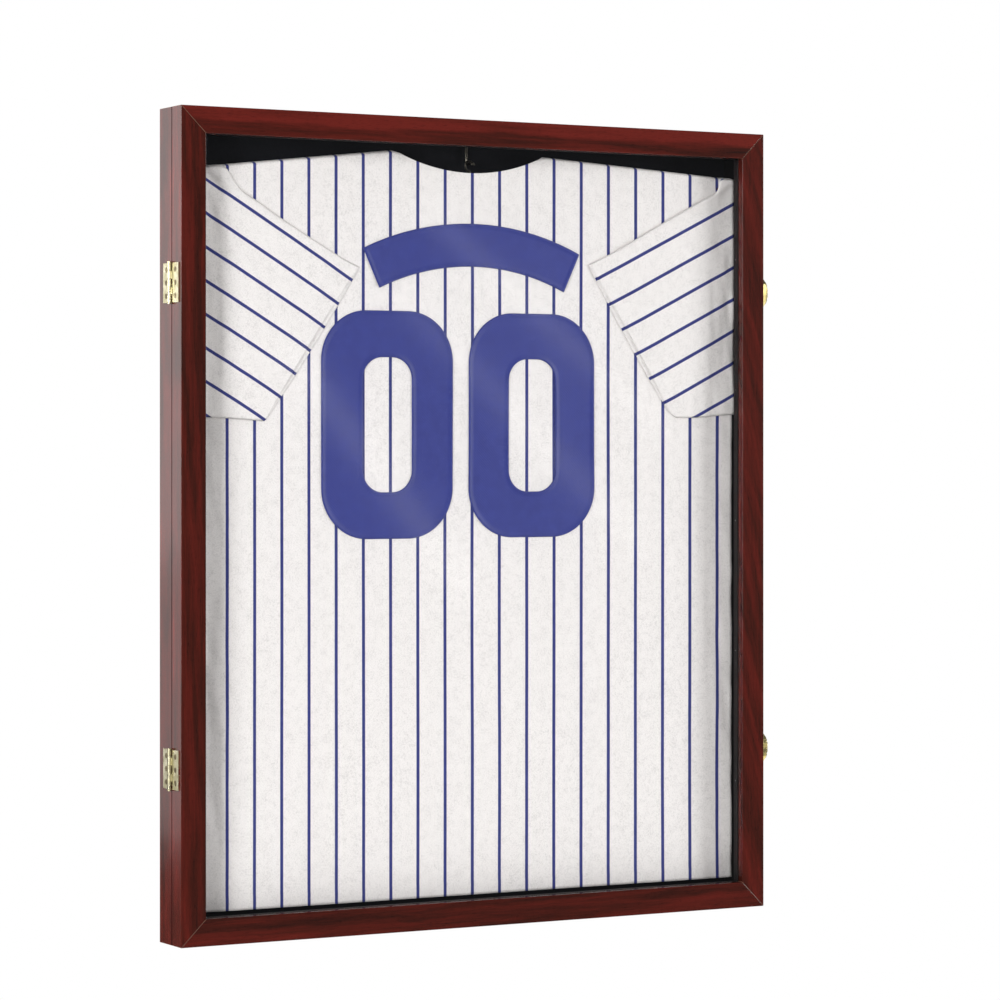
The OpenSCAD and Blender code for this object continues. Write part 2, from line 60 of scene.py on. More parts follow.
# Jersey, as it hangs
NECK_WIDTH = 172 * MM
NECK_X = -4 * MM
NECK_SAG = 20 * MM
NECK_SAG_BEHIND = 85 * MM
SHOULDER_X = (-291 * MM, -273 * MM, 293 * MM)
SHOULDER_DROP = (23.4 * MM, 22.7 * MM, 21.1 * MM, 12.9 * MM, 13 * MM)
TENT_ROUNDING = 3 * MM
SIDE_BAND = 20.6 * MM
SIDE_BAND_HIDDEN = {"left": 14.5 * MM, "right": 0.0}
SIDE_BAND_SOFTNESS = 0.14
SIDE_BAND_DEPTH = {"left": 4 * MM, "right": 0.4 * MM}
CLOTH = 0.7 * MM
HEM = 15 * MM

# Pinstripes: the first line, the spacing there, how it widens to the right, and a stripe's share of it
STRIPE_FIRST = -270.64 * MM
STRIPE_PITCH = 28.81 * MM
STRIPE_WIDENING = 0.1397
STRIPE_SHARE = 0.113

# Sleeves, folded flat across the front: their edges as (x, z) in millimetres, from the side edge to the cuff
SLEEVE_TOP = {
    "left": ((-306, -16), (-291, -14.6), (-279, -13.6), (-272, -17), (-266, -26), (-256, -37), (-239, -47.3),
             (-210, -65), (-152, -97), (-128, -108)),
    "right": ((309.6, -6), (300, -5.6), (293, -6), (290, -13), (286, -20), (272, -27), (257, -35), (215, -57),
              (165, -84), (133, -99)),
}
SLEEVE_LOW = {
    "left": ((-306, -255.6), (-289, -256.2), (-269, -257), (-231, -259.5)),
    "right": ((309.6, -250), (290, -251.5), (262, -253.5), (233, -254)),
}
SLEEVE_STRIPE_TILT = {"left": math.radians(30.6), "right": math.radians(-26.4)}
SLEEVE_STRIPE_PITCH = {"left": 27.75 * MM, "right": 29.6 * MM}
SLEEVE_STRIPE_START = {"left": (-291 * MM, -29.6 * MM), "right": (311 * MM, -29.6 * MM)}
SLEEVE_PUFF = 2.4 * MM
CUFF_STAGGER = 2.3 * MM
CUFF_CORNER = {"left": 0.015, "right": 0.075}
SHOULDER_CREASE = {"left": ((-294, -14), (-262, -40)), "right": ((309, -5), (284, -23))}

# Number and nameplate patches
DIGIT_STROKE = 46 * MM
DIGIT_CORNER = 50 * MM
COUNTER_CORNER = 21.6 * MM
NAME_RADIUS = 290 * MM
NAME_HALF_ANGLE = math.radians(25)
NAME_HEIGHT = 42 * MM
PATCH_RIM = 2.6 * MM
PATCH_CLOTH = 0.5 * MM
RIM_STEPS = (0.0, 0.35 * MM, PATCH_RIM - 0.4 * MM, PATCH_RIM)

# Locks: the outline's cut corner, how far the key's rim stands up, what the corner loses for each millimetre
# further in, and the bead's section as (height, inset) in millimetres
LOCK_CORNER = 6 * MM
LOCK_RING = 0.6 * MM
LOCK_CORNER_SHRINK = 0.586
LOCK_BEAD = ((-0.3, 2.9), (0.0, 2.9), (0.62, 4.2), (0.62, 4.9), (0.0, 6.3), (-0.3, 6.3))

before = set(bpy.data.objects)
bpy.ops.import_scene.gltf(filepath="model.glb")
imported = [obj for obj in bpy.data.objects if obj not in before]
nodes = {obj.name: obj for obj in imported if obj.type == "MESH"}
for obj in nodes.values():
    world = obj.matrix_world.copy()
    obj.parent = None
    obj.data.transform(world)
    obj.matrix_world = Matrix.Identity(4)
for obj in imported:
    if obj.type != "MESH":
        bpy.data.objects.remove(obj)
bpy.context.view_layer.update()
scene = bpy.context.scene

case_low, case_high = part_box("case_rail_left")[0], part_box("case_rail_right")[1]
half_width = case_high.x
half_height = (case_high.z - case_low.z) / 2
middle_z = (case_high.z + case_low.z) / 2
jersey_low, jersey_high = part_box("jersey_body")
jersey_right = jersey_high.x + 0.6 * MM
seam_y = (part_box("door_rail_left")[1].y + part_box("case_rail_left")[0].y) / 2


# ---------------------------------------------------------------- shaders


class Shader:
    """A material and short calls for the nodes that drive its Principled shader."""

    def __init__(self, name):
        self.material = bpy.data.materials.new(name)
        self.material.use_nodes = True
        self.tree = self.material.node_tree
        self.surface = self.tree.nodes["Principled BSDF"]
        self.position = self.add("ShaderNodeTexCoord").outputs["Object"]

    def put(self, socket, value):
        if isinstance(value, bpy.types.NodeSocket):
            self.tree.links.new(value, socket)
        else:
            socket.default_value = value

    def add(self, kind, inputs=(), **settings):
        node = self.tree.nodes.new(kind)
        for key, value in settings.items():
            setattr(node, key, value)
        for key, value in dict(inputs).items():
            self.put(node.inputs[key], value)
        return node

    def set(self, values):
        for key, value in values.items():
            self.put(self.surface.inputs[key], value)

    def maths(self, operation, *values, clamp=False):
        inputs = dict(enumerate(values))
        return self.add("ShaderNodeMath", inputs, operation=operation, use_clamp=clamp).outputs[0]

    def axes(self):
        return self.add("ShaderNodeSeparateXYZ", {0: self.position}).outputs[:3]

    def vector(self, x, y, z):
        return self.add("ShaderNodeCombineXYZ", {0: x, 1: y, 2: z}).outputs[0]

    def scaled(self, x, y, z, seed=0.0):
        """The position times a scale for each axis, moved on by a seed."""
        place = {"Vector": self.position, "Scale": (x, y, z), "Location": (seed, seed, seed)}
        return self.add("ShaderNodeMapping", place).outputs[0]

    def noise(self, vector, detail=2.0, roughness=0.5):
        inputs = {"Vector": vector, "Scale": 1.0, "Detail": detail, "Roughness": roughness}
        return self.add("ShaderNodeTexNoise", inputs).outputs["Fac"]

    def smooth(self, value, low, high, start=0.0, end=1.0):
        inputs = {0: value, 1: low, 2: high, 3: start, 4: end}
        return self.add("ShaderNodeMapRange", inputs, interpolation_type="SMOOTHSTEP").outputs[0]

    def ramp(self, factor, *stops):
        node = self.add("ShaderNodeValToRGB", {0: factor})
        while len(node.color_ramp.elements) < len(stops):
            node.color_ramp.elements.new(0.5)
        for element, (position, colour) in zip(node.color_ramp.elements, stops):
            element.position = position
            element.color = (*colour, 1)
        return node.outputs[0]

    def mix(self, factor, a, b):
        node = self.add("ShaderNodeMix", data_type="RGBA", blend_type="MIX")
        self.put(node.inputs[0], factor)
        self.put(node.inputs[6], (*a, 1) if isinstance(a, tuple) else a)
        self.put(node.inputs[7], (*b, 1) if isinstance(b, tuple) else b)
        return node.outputs[2]

    def bump(self, height, distance, strength=1.0, under=None):
        inputs = {"Height": height, "Distance": distance, "Strength": strength}
        if under is not None:
            inputs["Normal"] = under
        return self.add("ShaderNodeBump", inputs).outputs[0]


def glue_line(s):
    """1 on the two mitre planes through the frame's corners, fading to 0 beside them."""
    x, _, z = s.axes()
    from_side = s.maths("SUBTRACT", half_width, s.maths("ABSOLUTE", x))
    off_middle = s.maths("ABSOLUTE", s.maths("SUBTRACT", z, middle_z))
    from_end = s.maths("SUBTRACT", half_height, off_middle)
    apart = s.maths("ABSOLUTE", s.maths("SUBTRACT", from_side, from_end))
    return s.smooth(apart, 0.25 * MM, 0.6 * MM, 1.0, 0.0)


def mahogany(name, grain, seed, slant=0.0, dark_inside=0.0, lift=0.0, mitred=True):
    """Lacquered red-brown wood: its grain runs along X or Z, and its figure may lie at a slant."""
    s = Shader(name)
    x, y, z = s.axes()
    along, across = (x, z) if grain == "X" else (z, x)
    wander = s.noise(s.vector(s.maths("MULTIPLY", along, 9), seed, 0.0), detail=3)
    level = s.maths("ADD", across, s.maths("MULTIPLY", along, slant))
    level = s.maths("ADD", level, s.maths("MULTIPLY", wander, 0.017))
    long = s.maths("MULTIPLY", along, 5)
    figure = s.noise(
        s.vector(s.maths("ADD", long, seed), s.maths("MULTIPLY", y, 60), s.maths("MULTIPLY", level, 95)),
        detail=4, roughness=0.6)

    def grain_noise(long_scale, cross_scale, **settings):
        """Noise drawn out along the grain."""
        place = s.vector(s.maths("MULTIPLY", along, long_scale), s.maths("MULTIPLY", y, cross_scale),
                         s.maths("MULTIPLY", across, cross_scale))
        return s.noise(place, **settings)

    streaks = grain_noise(16, 420, detail=3, roughness=0.6)
    pores = grain_noise(120, 2600, detail=2)
    tone = s.maths("ADD", s.maths("MULTIPLY", figure, 0.72), s.maths("MULTIPLY", streaks, 0.28))
    tone = s.maths("ADD", tone, lift)
    edge = half_width if grain == "Z" else half_height
    centre = 0.0 if grain == "Z" else middle_z
    inwards = s.maths("SUBTRACT", edge, s.maths("ABSOLUTE", s.maths("SUBTRACT", across, centre)))
    if dark_inside:
        wave = s.maths("ADD", inwards, s.maths("MULTIPLY", s.maths("SUBTRACT", wander, 0.5), 0.016))
        tone = s.maths("SUBTRACT", tone, s.smooth(wave, 10 * MM, 15 * MM, 0.0, dark_inside))
    colour = s.ramp(
        tone,
        (0.30, (0.0200, 0.0054, 0.0038)),
        (0.43, (0.0400, 0.0074, 0.0047)),
        (0.55, (0.0710, 0.0094, 0.0062)),
        (0.72, (0.1130, 0.0128, 0.0090)))
    colour = s.mix(s.smooth(pores, 0.56, 0.70, 0.0, 0.55), colour, (0.007, 0.002, 0.0016))
    if mitred:
        colour = s.mix(s.maths("MULTIPLY", glue_line(s), 0.8), colour, (0.17, 0.085, 0.055))
    coat = LACQUER
    if mitred:
        # Painted shade: a dark line with dulled lacquer along the seam between door and case stands in for
        # the shadow in the gap
        seam_shade = s.smooth(s.maths("ABSOLUTE", s.maths("SUBTRACT", y, seam_y)), 0.5 * MM, 1.1 * MM, 1.0, 0.0)
        colour = s.mix(seam_shade, colour, (0.020, 0.004, 0.005))
        painted = s.maths("MULTIPLY", s.smooth(inwards, CASE_WALL - 0.6 * MM, CASE_WALL - 0.3 * MM),
                          s.smooth(y, seam_y, seam_y + 0.3 * MM))
        colour = s.mix(painted, colour, BLACK_PAINT)
        dulled_paint_and_seam_shade = s.maths("MULTIPLY", s.maths("MAXIMUM", seam_shade, painted), LACQUER_LOSS_ON_PAINT_AND_SEAM_SHADE)
        coat = s.maths("SUBTRACT", LACQUER, dulled_paint_and_seam_shade)
    lacquer = s.bump(s.noise(s.scaled(26, 26, 26, seed), detail=1), 0.35 * MM, 0.5)
    s.set({
        "Base Color": colour,
        "Roughness": s.smooth(tone, 0.3, 0.7, 0.46, 0.36),
        "Normal": s.bump(pores, 0.04 * MM, 0.6, under=lacquer),
        "Specular IOR Level": 0.0,
        "Coat Weight": coat,
        "Coat Roughness": 0.17,
        "Coat Normal": lacquer,
    })
    return s.material


def black_wood():
    """The strips behind the pane, painted black like the inside of the case."""
    s = Shader("black_painted_wood")
    brushed = s.noise(s.scaled(900, 900, 60), detail=3)
    s.set({
        "Base Color": s.mix(brushed, BLACK_PAINT, (0.014, 0.012, 0.012)),
        "Roughness": 0.6,
        "Specular IOR Level": 0.2,
        "Normal": s.bump(brushed, 0.05 * MM, 0.4),
    })
    return s.material


def metal(name, colour, worn, roughness, dents=0.0):
    """Plated metal with faint scratches and handling marks, and maybe the soft dents of pressed sheet."""
    s = Shader(name)
    cloud = s.noise(s.scaled(140, 140, 140), detail=3)
    scratch = s.noise(s.scaled(2700, 2700, 75), detail=2)
    pressed = s.bump(s.noise(s.scaled(75, 75, 60), detail=0), dents, 1.0) if dents else None
    s.set({
        "Base Color": s.mix(s.smooth(cloud, 0.35, 0.7), colour, worn),
        "Metallic": 1.0,
        "Roughness": s.smooth(cloud, 0.3, 0.75, roughness * 0.8, roughness * 1.5),
        "Normal": s.bump(scratch, 0.02 * MM, 0.35, under=pressed),
    })
    return s.material


def felt():
    """Black felt: matted short fibres that catch a little light."""
    s = Shader("black_felt")
    fibres = s.noise(s.scaled(900, 900, 900), detail=5, roughness=0.75)
    patches = s.noise(s.scaled(22, 22, 22, 3.0), detail=2)
    colour = s.ramp(fibres, (0.30, (0.0040, 0.0044, 0.0068)), (0.75, (0.0120, 0.0130, 0.0180)))
    s.set({
        "Base Color": s.mix(s.smooth(patches, 0.35, 0.7, 0.0, 0.25), colour, (0.010, 0.011, 0.013)),
        "Roughness": 1.0,
        "Specular IOR Level": 0.1,
        "Sheen Weight": 0.12,
        "Sheen Roughness": 0.45,
        "Normal": s.bump(fibres, 0.5 * MM, 0.8),
    })
    return s.material


def hardboard():
    """Pressed wood fibre with its smooth brown face and darker flecks."""
    s = Shader("hardboard")
    fibres = s.noise(s.scaled(260, 260, 700), detail=6, roughness=0.7)
    flecks = s.noise(s.scaled(1400, 1400, 900, 5.0), detail=2)
    colour = s.ramp(
        fibres,
        (0.3, (0.115, 0.062, 0.030)),
        (0.5, (0.185, 0.105, 0.052)),
        (0.75, (0.26, 0.155, 0.08)))
    s.set({
        "Base Color": s.mix(s.smooth(flecks, 0.6, 0.75, 0.0, 0.6), colour, (0.07, 0.035, 0.018)),
        "Roughness": s.smooth(fibres, 0.3, 0.7, 0.5, 0.7),
        "Normal": s.bump(fibres, 0.15 * MM, 0.5),
    })
    return s.material


def rubber():
    """Dark soft rubber with a faint grain."""
    s = Shader("bumper_rubber")
    grain = s.noise(s.scaled(2500, 2500, 2500), detail=3)
    s.set({
        "Base Color": s.ramp(grain, (0.3, (0.012, 0.012, 0.012)), (0.7, (0.03, 0.03, 0.03))),
        "Roughness": 0.62,
        "Normal": s.bump(grain, 0.06 * MM, 0.6),
    })
    return s.material


def acrylic():
    """A clear pane: it shows what is behind it and mirrors the room at its angle."""
    s = Shader("clear_acrylic")
    tree = s.tree
    clear = s.add("ShaderNodeBsdfTransparent", {0: (0.985, 0.99, 0.99, 1)})
    gloss = s.add("ShaderNodeBsdfGlossy", {"Color": (1, 1, 1, 1), "Roughness": 0.07})
    leaving = s.add("ShaderNodeNewGeometry").outputs["Backfacing"]
    both_faces = s.maths("MULTIPLY", s.add("ShaderNodeFresnel", {"IOR": 1.49}).outputs[0], 1.2)
    share = s.maths("MULTIPLY", both_faces, s.maths("SUBTRACT", 1.0, leaving), clamp=True)
    pane = s.add("ShaderNodeMixShader", {0: share, 1: clear.outputs[0], 2: gloss.outputs[0]})
    tree.links.new(pane.outputs[0], tree.nodes["Material Output"].inputs["Surface"])
    tree.nodes.remove(s.surface)
    return s.material


def knit_bump(s):
    """Tiny knitted loops with a slower unevenness of the yarn."""
    x, _, z = s.axes()
    loops = s.maths("MULTIPLY", s.maths("SINE", s.maths("MULTIPLY", x, 4200)),
                    s.maths("SINE", s.maths("MULTIPLY", z, 3600)))
    yarn = s.noise(s.scaled(420, 420, 420), detail=4, roughness=0.7)
    return s.bump(yarn, 0.35 * MM, 0.42, under=s.bump(loops, 0.10 * MM, 0.5))


def stripes_from(s, count):
    """1 on a thin stripe at each whole number of a count, and 0 between them."""
    off = s.maths("ABSOLUTE", s.maths("SUBTRACT", count, s.maths("ROUND", count)))
    return s.smooth(off, STRIPE_SHARE / 2 - 0.008, STRIPE_SHARE / 2 + 0.008, 1.0, 0.0)


def body_stripes(s):
    """The upright stripes of the jersey's body."""
    x, _, _ = s.axes()
    along = s.maths("SUBTRACT", x, STRIPE_FIRST)
    widening = s.maths("ADD", 1.0, s.maths("MULTIPLY", along, STRIPE_WIDENING))
    return stripes_from(s, s.maths("DIVIDE", s.maths("DIVIDE", along, STRIPE_PITCH), widening))


def sleeve_stripes(side):
    """The stripes of one sleeve, which lie across it at a tilt."""
    tilt, pitch = SLEEVE_STRIPE_TILT[side], SLEEVE_STRIPE_PITCH[side]
    start_x, start_z = SLEEVE_STRIPE_START[side]

    def mask(s):
        x, _, z = s.axes()
        level = s.maths("ADD", s.maths("MULTIPLY", s.maths("SUBTRACT", x, start_x), math.sin(tilt)),
                        s.maths("MULTIPLY", s.maths("SUBTRACT", z, start_z), math.cos(tilt)))
        return stripes_from(s, s.maths("DIVIDE", level, pitch))

    return mask


def jersey_knit(name, stripes):
    """Off-white knit with printed pinstripes."""
    s = Shader(name)
    soiling = s.noise(s.scaled(130, 130, 130), detail=3, roughness=0.6)
    loops = s.noise(s.scaled(620, 620, 620, 4.0), detail=3, roughness=0.7)
    mottle = s.maths("ADD", s.maths("MULTIPLY", soiling, 0.3), s.maths("MULTIPLY", loops, 0.7))
    cloth = s.ramp(
        mottle,
        (0.36, (0.712, 0.672, 0.660)),
        (0.50, (0.847, 0.802, 0.788)),
        (0.66, (0.881, 0.834, 0.820)))
    ink = s.ramp(mottle, (0.3, (0.024, 0.030, 0.160)), (0.7, (0.036, 0.045, 0.220)))
    s.set({
        "Base Color": s.mix(stripes(s), cloth, ink),
        "Roughness": 0.86,
        "Specular IOR Level": 0.25,
        "Sheen Weight": 0.1,
        "Sheen Roughness": 0.5,
        "Normal": knit_bump(s),
    })
    return s.material


def twill(name, dark, light, rib=2300):
    """Tackle twill: fine diagonal ribs with a slight satin gloss."""
    s = Shader(name)
    x, _, z = s.axes()
    ribs = s.maths("SINE", s.maths("MULTIPLY", s.maths("ADD", x, z), rib))
    cloud = s.noise(s.scaled(90, 90, 90), detail=3)
    s.set({
        "Base Color": s.ramp(cloud, (0.3, dark), (0.7, light)),
        "Roughness": 0.55,
        "Specular IOR Level": 0.35,
        "Sheen Weight": 0.1,
        "Normal": s.bump(ribs, 0.05 * MM, 0.4),
    })
    return s.material


# ---------------------------------------------------------------- meshes


def grid_mesh(name, points, close_rows=False, close_columns=False):
    """A mesh of quads over an array of points, rows by columns."""
    rows, columns = points.shape[:2]
    index = np.arange(rows * columns).reshape(rows, columns)
    if close_rows:
        index = np.vstack([index, index[:1]])
    if close_columns:
        index = np.hstack([index, index[:, :1]])
    faces = np.stack([index[:-1, :-1], index[1:, :-1], index[1:, 1:], index[:-1, 1:]], axis=-1)
    mesh = bpy.data.meshes.new(name)
    mesh.from_pydata(points.reshape(-1, 3).tolist(), [], faces.reshape(-1, 4).tolist())
    return mesh


def cleaned(mesh, distance=0.02 * MM):
    """Joins points that lie together, drops collapsed faces and turns the faces outwards."""
    form = bmesh.new()
    form.from_mesh(mesh)
    bmesh.ops.remove_doubles(form, verts=form.verts, dist=distance)
    bmesh.ops.dissolve_degenerate(form, edges=form.edges, dist=distance / 2)
    bmesh.ops.recalc_face_normals(form, faces=form.faces)
    form.to_mesh(mesh)
    form.free()
    return mesh


def add_piece(name, mesh, body, slot, *materials, stands_for=()):
    """A visual piece that rides a body, and may stand for CAD nodes."""
    piece = bpy.data.objects.new(name, mesh)
    scene.collection.objects.link(piece)
    for material in materials:
        mesh.materials.append(material)
    mesh.polygons.foreach_set("use_smooth", np.ones(len(mesh.polygons), bool))
    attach(piece, body)
    if stands_for:
        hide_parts(*stands_for)
    return piece


def soften_edges(piece, width, segments=2):
    """Breaks a hard piece's sharp edges with a small round."""
    joined = piece.modifiers.new("weld", "WELD")
    joined.merge_threshold = 0.01 * MM
    flat = piece.modifiers.new("flatten", "DECIMATE")
    flat.decimate_type = "DISSOLVE"
    flat.angle_limit = math.radians(1)
    edge = piece.modifiers.new("edges", "BEVEL")
    edge.width = width
    edge.segments = segments
    edge.limit_method = "ANGLE"
    edge.angle_limit = math.radians(32)
    edge.harden_normals = True


def dress(name, material, edge=0.2 * MM, segments=2):
    """Gives a CAD node its material and soft edges."""
    piece = nodes[name]
    mesh = piece.data
    mesh.materials.clear()
    mesh.materials.append(material)
    if "custom_normal" in mesh.attributes:
        mesh.attributes.remove(mesh.attributes["custom_normal"])
    mesh.polygons.foreach_set("use_smooth", np.ones(len(mesh.polygons), bool))
    soften_edges(piece, edge, segments)


def with_thickness(piece, thickness, outwards=-1.0):
    """Makes a surface a sheet: its thickness grows inwards, or outwards at 1."""
    shell = piece.modifiers.new("thickness", "SOLIDIFY")
    shell.thickness = thickness
    shell.offset = outwards
    return piece


# ---------------------------------------------------------------- jersey


def random_field(seed, cell_x, cell_z):
    """A smooth random height from -1 to 1 whose bumps are about a cell wide and high."""
    size = 61
    table = np.random.default_rng(seed).uniform(-1, 1, (size, size))

    def height(x, z):
        across, up = np.asarray(x) / cell_x + 500, np.asarray(z) / cell_z + 500
        i, j = np.floor(across).astype(int), np.floor(up).astype(int)
        s, t = across - i, up - j
        s, t = s * s * s * (s * (6 * s - 15) + 10), t * t * t * (t * (6 * t - 15) + 10)
        near = table[i % size, j % size] * (1 - s) + table[(i + 1) % size, j % size] * s
        far = table[i % size, (j + 1) % size] * (1 - s) + table[(i + 1) % size, (j + 1) % size] * s
        return near * (1 - t) + far * t

    return height


broad_folds = random_field(3, 120 * MM, 210 * MM)
soft_folds = random_field(8, 46 * MM, 120 * MM)
ripples = random_field(21, 19 * MM, 30 * MM)
side_creases = random_field(34, 9 * MM, 34 * MM)
fine_creases = random_field(55, 6 * MM, 13 * MM)


def eased(value):
    """0 to 1 with a gentle start and end."""
    value = np.clip(value, 0, 1)
    return value * value * (3 - 2 * value)


def rounding(distance, radius):
    """0 at an edge, rising along a quarter circle to 1 a radius further in."""
    inwards = 1 - np.clip(distance / radius, 0, 1)
    return np.sqrt(np.maximum(0, 1 - inwards * inwards))


def neckline(x, sag):
    """Height of the neck opening's edge, an arc between the two shoulder points."""
    half = NECK_WIDTH / 2
    radius = (half * half + sag * sag) / (2 * sag)
    across = np.clip(x - NECK_X, -half, half)
    return jersey_high.z - sag + radius - np.sqrt(radius * radius - across * across)


def jersey_top(x, sag):
    """Height of the jersey's top edge: two sloping shoulders and the neck opening."""
    half = NECK_WIDTH / 2
    x_points = [jersey_low.x, *SHOULDER_X[:2], NECK_X - half, NECK_X + half, SHOULDER_X[2], jersey_high.x]
    drops = [*SHOULDER_DROP[:3], 0, 0, *SHOULDER_DROP[3:]]
    shoulders = jersey_high.z - np.interp(x, x_points, drops)
    return np.where(np.abs(x - NECK_X) < half, neckline(x, sag), shoulders)


def side_fullness(x, z):
    """1 across the jersey's front, falling to 0 where its sides turn back to the felt below the bar."""
    full = 1.0
    for side, distance in (("left", x - jersey_low.x), ("right", jersey_right - x)):
        short = 1 - (distance - SIDE_BAND_HIDDEN[side]) / SIDE_BAND
        turn = (short + np.sqrt(short * short + SIDE_BAND_SOFTNESS ** 2)) / 2
        full = full * (1 - np.clip(turn, 0, 1))
    bar_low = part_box("hanger_bar")[0].z
    return 1 - (1 - full) * eased((bar_low - 2 * MM - z) / (60 * MM))


def folds(x, z):
    """How far the front layer stands back from its plane, in soft folds and in creases beside its edges."""
    inside = np.minimum(x - jersey_low.x - SIDE_BAND_HIDDEN["left"], jersey_right - x)
    near_edge = np.exp(-((inside / (26 * MM)) ** 2))
    right = np.where(x > 0, 1.35, 1.0)
    soft = 0.55 * MM * broad_folds(x, z) + 0.28 * MM * soft_folds(x + z * 0.12, z) + 0.07 * MM * ripples(x, z)
    creases = 0.9 * MM * side_creases(x + z * 0.15, z) + 0.3 * MM * fine_creases(x, z + 0.8 * x)
    return soft + near_edge * right * creases


def back_y(z):
    """Depth of the layer that hangs against the felt: it wraps the bar and then falls in."""
    bar_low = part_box("hanger_bar")[0].z
    return np.interp(z, [jersey_low.z, bar_low - 70 * MM, bar_low - 6 * MM], [-16 * MM, -14 * MM, -8.2 * MM])


def front_y(x, z):
    """Depth of the jersey's front layer."""
    hem = 0.25 * MM * eased((jersey_low.z + HEM - z) / (0.8 * MM))
    sunk = np.where(x < 0, SIDE_BAND_DEPTH["left"], SIDE_BAND_DEPTH["right"]) * (1 - side_fullness(x, z))
    return jersey_low.y + 0.75 * MM + folds(x, z) - hem + sunk


def tube_angles(count):
    """Even steps round a flat tube: place across it from 0 to 1, and 1 on the front layer or -1 behind."""
    turn = np.linspace(0, 2, 2 * count, endpoint=False)
    way = np.where(turn <= 1, turn, 2 - turn)
    across = 0.35 * (1 - np.cos(way * math.pi)) / 2 + 0.65 * way
    return np.where(way < 1e-9, 0, across), np.where((turn > 0) & (turn < 1), 1.0, -1.0)


def jersey_body(material):
    """The body of the jersey: a flat tube over the bar, open at its hem and its neck."""
    across, facing = tube_angles(120)
    over_shoulder = np.array([0, 0.4, 1.0, 1.8, 2.8, 4.2, 6.2, 9]) / 720
    at_hem = np.array([0.9785, 0.9795, 0.985, 0.991, 0.996, 1.0])
    down = np.concatenate([over_shoulder, np.linspace(0.018, 0.976, 104), at_hem])
    x = (jersey_low.x + across * (jersey_right - jersey_low.x))[None, :]
    facing = facing[None, :]
    top = np.where(facing > 0, jersey_top(x, NECK_SAG), jersey_top(x, NECK_SAG_BEHIND))
    z = top + (jersey_low.z - top) * down[:, None]
    x = np.broadcast_to(x, z.shape)
    front, back = front_y(x, z), back_y(z)
    middle, half = (front + back) / 2, (back - front) / 2
    in_neck = eased((NECK_WIDTH / 2 - np.abs(x - NECK_X)) / (5 * MM) + 0.3)
    above_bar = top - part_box("hanger_bar")[1].z
    over_bar = rounding(top - z, np.clip(above_bar * 1.6 - 0.2 * MM, 0.6 * MM, TENT_ROUNDING))
    inside = np.minimum(x - jersey_low.x, jersey_right - x)
    sides = rounding(inside, 1.6 * MM)
    points = np.stack([x, middle - facing * half * sides * np.maximum(over_bar, in_neck), z], axis=-1)
    mesh = cleaned(grid_mesh("jersey_body_cloth", points, close_columns=True))
    piece = add_piece("jersey_body_cloth", mesh, "hanger", "jersey_white", material,
                      stands_for=["jersey_body"])
    return with_thickness(piece, CLOTH)


def smooth_path(points, count):
    """Evenly spaced points on a smooth curve through the given points, which are in millimetres."""
    known = np.array(points, float) * MM
    ends = np.vstack([2 * known[0] - known[1], known, 2 * known[-1] - known[-2]])
    fine = []
    for a, b, c, d in zip(ends, ends[1:], ends[2:], ends[3:]):
        t = np.linspace(0, 1, 24, endpoint=False)[:, None]
        fine.append(0.5 * (2 * b + (c - a) * t + (2 * a - 5 * b + 4 * c - d) * t * t
                           + (3 * b - a - 3 * c + d) * t ** 3))
    fine = np.vstack([*fine, known[-1:]])
    gone = np.concatenate([[0], np.cumsum(np.linalg.norm(np.diff(fine, axis=0), axis=1))])
    at = np.linspace(0, gone[-1], count)
    return np.stack([np.interp(at, gone, fine[:, i]) for i in (0, 1)], axis=-1)


def crease_height(x, z, line):
    """A sharp ridge along a line, with a hollow on its outer side."""
    start, end = np.array(line) * MM
    way = (end - start) / np.linalg.norm(end - start)
    along = (x - start[0]) * way[0] + (z - start[1]) * way[1]
    off = (x - start[0]) * way[1] - (z - start[1]) * way[0]
    off = off if start[0] < 0 else -off
    reach = eased((along + 6 * MM) / (8 * MM)) * eased((np.linalg.norm(end - start) - along) / (16 * MM))
    ridge = 1.3 * MM * np.exp(-((off / (1.8 * MM)) ** 2))
    hollow = 2.0 * MM * np.exp(-(((off - 7 * MM) / (5 * MM)) ** 2))
    return (ridge - hollow) * reach


